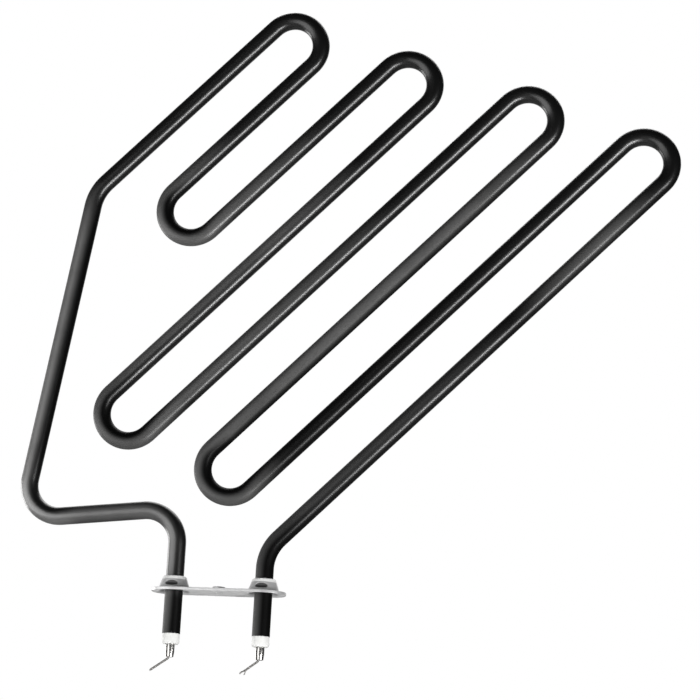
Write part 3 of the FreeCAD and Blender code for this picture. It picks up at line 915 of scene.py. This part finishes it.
@dataclass
class MountingPlate:
    """The strip with its drawn collars, the dents that hold the legs, and the threaded collar.

    The draft is in degrees. A name that ends in steps is a number of edges. The crimp's shade is
    its darkness at the dent's brim, and what it gains down to the full depth. A thread's flank
    is a share of the pitch.
    """

    margin: float = 2.5 * MM
    thickness: float = 1.2 * MM
    end_steps: int = 48
    edge: float = 0.14 * MM
    edge_steps: int = 3
    segments: int = 128
    collar_bore: float = 4.55 * MM
    collar_height: float = 7.6 * MM
    collar_draft: float = 18.5
    collar_root: float = 1.2 * MM
    root_steps: int = 8
    inner_root_steps: int = 10
    wall_step: float = 0.16 * MM
    inner_wall_step: float = 0.64 * MM
    lip: float = 0.9 * MM
    lip_steps: int = 9
    inner_lip: float = 0.3 * MM
    inner_lip_steps: int = 4
    # How far down from the collar's top the painted highlight reaches.
    bright_rim: float = 1.71 * MM
    crimp_height: float = 4.1 * MM
    crimp_depth: float = 0.7 * MM
    crimp_die: float = 1.6 * MM
    crimp_shade: Pair = (0.3, 3.0)
    screw_radius: float = 3.2 * MM
    screw_height: float = 3 * MM
    screw_root: float = 0.5 * MM
    thread_core: float = 2.1 * MM
    thread_root: float = 2.42 * MM
    thread_pitch: float = 0.8 * MM
    thread_flank: float = 0.45

    def __post_init__(self) -> None:
        """Starts the mesh, with room for the marks that its finish reads."""
        self.piece = Piece("mounting_plate_pressed", Slot.ZINC_SHEET)
        self.shade = self.piece.bm.verts.layers.float.new("shade")
        # Marks the collar rims for the painted highlight.
        self.rim_highlight = self.piece.bm.verts.layers.float.new("rim_highlight")

    def lean(self) -> float:
        """Returns the draft of the leg collars, in radians."""
        return math.radians(self.collar_draft)

    def wall_at(self, height: float) -> float:
        """Returns the outer radius of a leg collar's cone at a height above the underside."""
        top = self.collar_bore + self.thickness / math.cos(self.lean())
        return top + (self.collar_height - height) * math.tan(self.lean())

    def collar_rim(self) -> float:
        """Returns the radius at which a leg collar has run out into the flat strip."""
        low = self.thickness + self.collar_root * (1 - math.sin(self.lean()))
        return self.wall_at(low) + self.collar_root * math.cos(self.lean())

    def build(self) -> bpy.types.Object:
        """Builds the plate, and returns its object."""
        legs = [Vector((side * LEG_SPACING / 2, 0, 0)) for side in (-1, 1)]
        rim = self.collar_rim()
        screw_rim = self.screw_radius + self.screw_root
        self.strip([(leg, rim) for leg in legs] + [(Vector(), screw_rim)])
        for leg in legs:
            self.piece.turned(self.collar_profile(rim), leg, self.segments, closed=False)
            self.crimp(leg)
            self.paint_highlight(leg)
        self.piece.turned(self.screw_profile(screw_rim), Vector(), self.segments, closed=False)
        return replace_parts(self.piece.finish(), "mounting_plate")

    def strip(self, holes: list[tuple[Vector, float]]) -> None:
        """Makes the flat strip with round ends.

        Args:
            holes: centre and radius of each place that is left open for a collar.
        """
        bm = self.piece.bm
        outline = []
        for side in (1, -1):
            for step in range(self.end_steps + 1):
                angle = math.radians(-90 * side + 180 * step / self.end_steps)
                across = Vector((math.cos(angle), math.sin(angle), 0))
                centre = Vector((side * LEG_SPACING / 2, 0, 0))
                outline.append(centre + across * (self.collar_rim() + self.margin))
        border = only(bmesh.types.BMEdge, self.piece.section(outline, True))
        rings = []
        for centre, radius in holes:
            rings += self.piece.ring(radius, Matrix.Translation(centre), self.segments)
        filled = bmesh.ops.triangle_fill(bm, use_beauty=True, edges=border + rings)["geom"]
        copied = bmesh.ops.duplicate(bm, geom=only(bmesh.types.BMFace, filled))
        lifted = only(bmesh.types.BMVert, copied["geom"])
        bmesh.ops.translate(bm, verts=lifted, vec=UP * self.thickness)
        paired = copied["edge_map"]
        upper = [paired[edge] for edge in border]
        bmesh.ops.bridge_loops(bm, edges=border + upper)
        bmesh.ops.bevel(
            bm,
            geom=border + upper,
            offset=self.edge,
            offset_type="OFFSET",
            segments=self.edge_steps,
            profile=0.5,
            affect="EDGES",
            material=-1,
        )

    def collar_profile(self, rim: float) -> list[Vector]:
        """Draws the section of a leg collar.

        Args:
            rim: the radius at which the collar has run out into the strip.

        Returns:
            Its points, from the strip's top over the lip to the strip's underside.
        """
        draft, lip, inner_lip = self.collar_draft, self.lip, self.inner_lip
        root = (rim, self.thickness + self.collar_root)
        inner_root = self.collar_root + self.thickness
        outer = arc(root, self.collar_root, 270, 180 + draft, self.root_steps)
        inner = arc(root, inner_root, 180 + draft, 270, self.inner_root_steps)
        shoulder = self.collar_height - lip * (1 - math.sin(self.lean()))
        side = self.wall_at(shoulder)
        turn = (side - lip * math.cos(self.lean()), self.collar_height - lip)
        inner_turn = (self.collar_bore + inner_lip, self.collar_height - inner_lip)
        points = outer[:-1]
        points += incline(outer[-1], Vector((side, 0, shoulder)), self.wall_step)[:-1]
        points += arc(turn, lip, draft, 90, self.lip_steps)
        points += arc(inner_turn, inner_lip, 90, 180, self.inner_lip_steps)
        points += incline(points[-1], inner[0], self.inner_wall_step)[1:]
        return points + inner[1:]

    def screw_profile(self, rim: float) -> list[Vector]:
        """Draws the section of the threaded collar.

        Args:
            rim: the radius at which the collar has run out into the strip.

        Returns:
            Its points, from the strip's top to the strip's underside.
        """
        edge, pitch = self.edge, self.thread_pitch
        root = (rim, self.thickness + self.screw_root)
        corner = (self.screw_radius - edge, self.screw_height - edge)
        points = arc(root, self.screw_root, 270, 180, self.root_steps)
        points += arc(corner, edge, 0, 90, self.edge_steps)
        height = self.screw_height
        while height > pitch * (1 - self.thread_flank):
            points.append(Vector((self.thread_root, 0, height)))
            for share in (self.thread_flank, 1 - self.thread_flank):
                points.append(Vector((self.thread_core, 0, height - pitch * share)))
            height -= pitch
        return points + [Vector((self.thread_root, 0, 0)), Vector((rim, 0, 0))]

    def crimp(self, leg: Vector) -> None:
        """Presses the round die into a collar's cone on its front and back, and marks the dents for
        painted shade.

        Args:
            leg: the centre of the collar.
        """
        wall = self.wall_at(self.crimp_height)
        start, gain = self.crimp_shade
        for vert in self.piece.bm.verts:
            local = vert.co - leg
            skin = self.wall_at(local.z) - self.thickness / 2
            if math.hypot(local.x, local.y) < skin or local.z < self.thickness:
                continue
            side = math.copysign(1, local.y)
            die = side * (wall + self.crimp_die - self.crimp_depth)
            rise = local.z - self.crimp_height
            if abs(rise) >= self.crimp_die or abs(local.x) > wall:
                continue
            floor = die - side * math.sqrt(self.crimp_die**2 - rise**2)
            depth = (local.y - floor) * side
            if depth > 0:
                vert.co.y = floor
                # Painted shade, darker the deeper the dent.
                vert[self.shade] = min(1.0, start + gain * depth / self.crimp_depth)

    def paint_highlight(self, leg: Vector) -> None:
        """Marks the rim of a collar for a painted highlight.

        Args:
            leg: the centre of the collar.
        """
        for vert in self.piece.bm.verts:
            local = vert.co - leg
            near = math.hypot(local.x, local.y) < self.collar_rim()
            if near and local.z > self.collar_height - self.bright_rim:
                vert[self.rim_highlight] = 1.0


@dataclass
class Terminal:
    """Ceramic bush, rolled sleeve and stranded lead of one tube end.

    The lead's turn and the seam's angles are in degrees. The fork's spread and lean say how far
    its two branches go sideways for each length along the lead. The sleeve's dark wall is how
    much of its wall counts as its inside, which gets painted shade.
    """

    label: str
    side: int = -1
    lead_turn: float = 55.0
    forked: bool = False
    bush_radius: float = 4.35 * MM
    bush_head: float = 5.2 * MM
    bush_chamfer: float = 0.6 * MM
    bush_edge: float = 0.2 * MM
    bush_hole: float = 1.6 * MM
    bush_segments: int = 72
    spigot_radius: float = 3.7 * MM
    spigot_length: float = 4 * MM
    sleeve_length: float = 6.4 * MM
    sleeve_taper: float = 2.8 * MM
    sleeve_grip: float = 1.55 * MM
    sleeve_wall: float = 0.7 * MM
    sleeve_edge: float = 0.16 * MM
    sleeve_mouth: float = 1.25 * MM
    sleeve_segments: int = 64
    dark_wall: float = 0.42 * MM
    seam_angle: float = 32.0
    seam_turn: float = 235.0
    lead_radius: float = 0.55 * MM
    lead_offset: float = 0.6 * MM
    lead_gap: float = 0.1 * MM
    lead_bend: float = 0.9 * MM
    lead_drop: float = 2.8 * MM
    lead_length: float = 10.6 * MM
    lead_lay: float = 7.5 * MM
    outer_strands: int = 6
    strand_sides: int = 10
    strand_steps: int = 56
    strand_smooth: float = 40.0
    strand_cut: float = 0.25 * MM
    fork_strands: tuple[int, ...] = (1, 2, 3)
    fork_length: float = 2.3 * MM
    fork_cut: float = 1.38 * MM
    fork_spread: float = 0.55
    fork_lean: float = -0.12

    def axis(self) -> Vector:
        """Returns the tube end's place on its axis."""
        return Vector((self.side * LEG_SPACING / 2, 0, -LEG_TAIL))

    def strand_radius(self) -> float:
        """Returns the radius of one strand, of which three lie side by side across the lead."""
        return self.lead_radius / 3

    def build(self) -> list[bpy.types.Object]:
        """Builds the pieces, and returns their objects."""
        return [self.bush(), self.sleeve(), self.lead()]

    def bush(self) -> bpy.types.Object:
        """Turns the white bush, with its spigot up in the tube."""
        piece = Piece(f"ceramic_bush_{self.label}_turned", Slot.WHITE_CERAMIC)
        low = -self.bush_head
        corners = [
            (self.bush_hole, low),
            (self.bush_radius - self.bush_chamfer, low),
            (self.bush_radius, low + self.bush_chamfer),
            (self.bush_radius, 0),
            (self.spigot_radius, 0),
            (self.spigot_radius, self.spigot_length),
            (self.bush_hole, self.spigot_length),
        ]
        piece.turned(soften(corners, self.bush_edge), self.axis(), self.bush_segments)
        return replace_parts(piece.finish(), f"ceramic_bush_{self.label}")

    def sleeve(self) -> bpy.types.Object:
        """Rolls the bright sleeve, which leaves a seam open, and marks its inside for painted
        shade.
        """
        piece = Piece(f"crimp_sleeve_{self.label}_rolled", Slot.NICKEL_SLEEVE)
        grip, wall, mouth = self.sleeve_grip, self.sleeve_wall, self.sleeve_mouth
        corners = [
            (mouth, 0),
            (mouth + wall, 0),
            (grip + wall, self.sleeve_taper),
            (grip + wall, self.sleeve_length),
            (grip, self.sleeve_length),
            (grip, self.sleeve_taper),
        ]
        base = self.axis() - UP * (self.bush_head + self.sleeve_length)
        start = math.radians(self.seam_turn + self.seam_angle / 2)
        angle = math.radians(360 - self.seam_angle)
        profile = soften(corners, self.sleeve_edge)
        piece.rolled(profile, base, start, angle, self.sleeve_segments)
        # Painted shade on the sleeve's bore and inner wall, where little light reaches.
        layer = piece.bm.verts.layers.float.new("shade")
        for vert in piece.bm.verts:
            local = vert.co - base
            bore = mouth + (grip - mouth) * min(1.0, local.z / self.sleeve_taper)
            inside_shade = math.hypot(local.x, local.y) < bore + self.dark_wall
            vert[layer] = 1.0 if inside_shade else 0.0
        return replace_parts(piece.finish(), f"crimp_sleeve_{self.label}")

    def lead(self) -> bpy.types.Object:
        """Lays the stub of lead wire out of one middle strand and the outer ones."""
        piece = Piece(f"lead_stub_{self.label}_stranded", Slot.LEAD_WIRE)
        for strand in range(self.outer_strands + 1):
            piece.strung(self.strand_frames(strand), self.strand_radius(), self.strand_sides)
        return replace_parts(piece.finish(self.strand_smooth), f"lead_stub_{self.label}")

    def middle(self, gone: float) -> tuple[Vector, Vector]:
        """Follows the lead's own line, down, round its bend and out.

        Args:
            gone: the length from the lead's top.

        Returns:
            The place there and the direction.
        """
        drop = self.bush_head + self.sleeve_length - self.sleeve_taper + self.lead_gap
        top = self.axis() - Vector((self.lead_offset, 0, drop))
        turn = math.radians(self.lead_turn)
        swept = min(max((gone - self.lead_drop) / self.lead_bend, 0), turn)
        spot = top - UP * min(gone, self.lead_drop)
        spot += Vector((math.cos(swept) - 1, 0, -math.sin(swept))) * self.lead_bend
        ahead = Vector((-math.sin(swept), 0, -math.cos(swept)))
        return spot + ahead * max(gone - self.lead_drop - self.lead_bend * turn, 0), ahead

    def strand_frames(self, strand: int) -> list[Matrix]:
        """Lays one strand along the lead's line. The strands end at three lengths in turn.

        Args:
            strand: its number: 0 lies in the middle, and the others are twisted round it.

        Returns:
            The frames that it runs through.
        """
        whole = self.lead_drop + self.lead_bend * math.radians(self.lead_turn)
        whole += self.lead_length - self.strand_cut * (-strand % 3)
        branch = strand in self.fork_strands
        if self.forked and branch:
            whole -= self.fork_cut
        lay = 2 * self.strand_radius() if strand else 0.0
        lean = self.fork_spread if branch else self.fork_lean
        points = []
        for index in range(self.strand_steps + 1):
            gone = whole * index / self.strand_steps
            spot, ahead = self.middle(gone)
            aside = ahead.cross(ACROSS)
            angle = math.tau * (strand / self.outer_strands + gone / self.lead_lay)
            loose = max(0.0, gone - whole + self.fork_length) if self.forked else 0.0
            spot += (aside * math.cos(angle) + ACROSS * math.sin(angle)) * lay
            points.append(spot + aside * lean * loose)
        frames = []
        for index, point in enumerate(points):
            along = points[min(index + 1, self.strand_steps)] - points[max(index - 1, 0)]
            turned = along.to_track_quat("Z", "Y").to_matrix().to_4x4()
            frames.append(Matrix.Translation(point) @ turned)
        return frames


def dress_node(node: bpy.types.Object, slot: Slot) -> bpy.types.Object:
    """Gives a CAD node the finish of its slot.

    Args:
        node: the node's object.
        slot: the slot that it belongs to.

    Returns:
        The node.
    """
    mesh = node.data
    mesh.materials.clear()
    mesh.materials.append(slot.material())
    mesh.polygons.foreach_set("use_smooth", [False] * len(mesh.polygons))
    return node


# Stage


@dataclass(frozen=True)
class Lamp:
    """One soft lamp: a rectangle that faces a target, with its length along a direction."""

    name: str
    place: Triple
    target: Triple
    along: Triple
    length: float
    width: float
    power: float

    def build(self) -> None:
        """Adds the lamp to the scene."""
        light = bpy.data.lights.new(self.name, "AREA")
        light.shape = "RECTANGLE"
        light.size = self.length
        light.size_y = self.width
        light.energy = self.power
        back = (Vector(self.place) - Vector(self.target)).normalized()
        side = Vector(self.along)
        side = (side - back * side.dot(back)).normalized()
        turned = Matrix((side, back.cross(side), back)).transposed().to_4x4()
        add_object(self.name, light).matrix_world = Matrix.Translation(self.place) @ turned


@dataclass
class Stage:
    """The plain pale studio that the element is seen in, with the camera's lens and place.

    The backdrop says how near to the view's direction a mirrored ray turns white, as a cosine.
    """

    WHITE = (1.0, 1.0, 1.0)
    MIDDLE = (0.06, 0, 0.13)
    LAMPS = (
        Lamp("soft_left", (-0.69, -0.63, -0.08), MIDDLE, (0.64, -0.77, 0), 1.5, 0.8, 9.2),
        Lamp("strip_right", (0.593, -0.464, -0.257), MIDDLE, (1, 0, 1), 0.6, 0.14, 6.4),
        Lamp("rim_left", (-0.95, 0.45, 0.0), (-0.08, 0, 0.1), (0, 0, 1), 0.5, 0.45, 4.0),
        Lamp("soft_top", (0.1, 0.9, 1.2), (0, 0, 0.12), (1, 0, 0), 1.2, 0.8, 8.0),
    )

    lens: float = 128.57
    sensor: float = 36.0
    place: Triple = (0.26063, -1.2159, -0.15589)
    right: Triple = (0.98716, 0.15098, 0.05243)
    up: Triple = (-0.0166, -0.2280, 0.9735)
    backdrop: Pair = (0.78, 0.84)
    floor_level: float = -0.9
    floor_reach: float = 12.0
    floor_cloud: float = 0.4
    floor_tints: tuple[float, ...] = (0.3, 0.7, 0.78, 0.82)
    floor_roughness: float = 0.9
    floor_glow: float = 0.75
    ambient: float = 0.04
    ambient_tint: Triple = (0.95, 0.97, 1.0)

    def build(self) -> None:
        """Adds camera, lamps, floor and world."""
        bpy.context.scene.view_settings.view_transform = "Standard"
        self.add_camera()
        for lamp in self.LAMPS:
            lamp.build()
        self.add_floor()
        self.add_world()

    def add_camera(self) -> None:
        """Adds the camera at the photograph's viewing angle."""
        data = bpy.data.cameras.new("camera")
        data.lens = self.lens
        data.sensor_width = self.sensor
        right, up = Vector(self.right).normalized(), Vector(self.up).normalized()
        back = right.cross(up).normalized()
        turned = Matrix((right, back.cross(right), back)).transposed().to_4x4()
        camera = add_object("camera", data)
        camera.matrix_world = Matrix.Translation(self.place) @ turned
        bpy.context.scene.camera = camera

    def ahead(self) -> Vector:
        """Returns the direction of the photograph's view."""
        return Vector(self.up).cross(Vector(self.right)).normalized()

    def shown(self, graph: Graph, along: Wire, ahead: Vector) -> Wire:
        """Finds the share of plain white that a ray meets.

        Args:
            graph: the material's or the world's graph.
            along: the ray's direction.
            ahead: the direction that counts as behind the object.

        Returns:
            1 for the camera's own rays, 1 for mirrored and refracted ones that go on behind the
            object, and 0 for the rest.
        """
        dot = {"operation": "DOT_PRODUCT"}
        facing = graph.node("ShaderNodeVectorMath", dot, "Value", _0=along, _1=ahead)
        seen, glossy, through = (
            graph.node("ShaderNodeLightPath", output=f"Is {kind} Ray")
            for kind in ("Camera", "Glossy", "Transmission")
        )
        mirrored = (glossy + through) * facing.ramp(*self.backdrop)
        return (seen + mirrored).math("MINIMUM", 1.0)

    def add_floor(self) -> None:
        """Adds the pale floor, which keeps the object's shadow."""
        material = bpy.data.materials.new("pale_floor")
        material.use_nodes = True
        graph = Graph(material.node_tree)
        tint = graph.noise(graph.place(), self.floor_cloud, detail=2.0).ramp(*self.floor_tints)
        rough = self.floor_roughness
        lit = graph.node("ShaderNodeBsdfPrincipled", Base_Color=tint, Roughness=rough)
        white = graph.node("ShaderNodeEmission", Color=self.WHITE, Strength=1.0)
        back = graph.node("ShaderNodeNewGeometry", output="Incoming")
        share = self.shown(graph, back, -self.ahead()) * self.floor_glow
        both = graph.node("ShaderNodeMixShader", _0=share, _1=lit, _2=white)
        graph.node("ShaderNodeOutputMaterial", Surface=both)
        bm = bmesh.new()
        matrix = Matrix.Translation((0, 0, self.floor_level))
        bmesh.ops.create_grid(bm, x_segments=1, y_segments=1, size=self.floor_reach, matrix=matrix)
        mesh = bpy.data.meshes.new("floor")
        bm.to_mesh(mesh)
        bm.free()
        mesh.materials.append(material)
        add_object("floor", mesh)

    def add_world(self) -> None:
        """Adds a dim world that the camera sees as white, as do mirrors behind the object."""
        world = bpy.data.worlds.new("studio")
        bpy.context.scene.world = world
        world.use_nodes = True
        graph = Graph(world.node_tree)
        along = graph.node("ShaderNodeTexCoord", output="Generated")
        share = self.shown(graph, along, self.ahead())
        tint, level = self.ambient_tint, self.ambient
        ambient = graph.node("ShaderNodeBackground", Color=tint, Strength=level)
        white = graph.node("ShaderNodeBackground", Color=self.WHITE, Strength=1.0)
        both = graph.node("ShaderNodeMixShader", _0=share, _1=ambient, _2=white)
        graph.node("ShaderNodeOutputWorld", Surface=both)


HIDDEN_NODES = {
    "insulation_core": Slot.MAGNESIA,
    "resistance_coil": Slot.RESISTANCE_WIRE,
    "terminal_pin_left": Slot.PIN_STEEL,
    "terminal_pin_right": Slot.PIN_STEEL,
    "end_seal_left": Slot.SEAL_RESIN,
    "end_seal_right": Slot.SEAL_RESIN,
}


def main() -> None:
    """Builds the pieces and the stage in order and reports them."""
    logging.basicConfig(level=logging.INFO, format="%(name)s: %(message)s")
    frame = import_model()
    pieces = [BentTube().build(), MountingPlate().build()]
    pieces += Terminal("left").build()
    pieces += Terminal("right", side=1, lead_turn=53.0, forked=True).build()
    pieces += [dress_node(frame["nodes"][name], slot) for name, slot in HIDDEN_NODES.items()]
    for piece in pieces:
        LOG.info("%s: %d faces", piece.name, len(piece.data.polygons))
    Stage().build()
    bpy.context.view_layer.update()


if __name__ == "__main__":
    main()
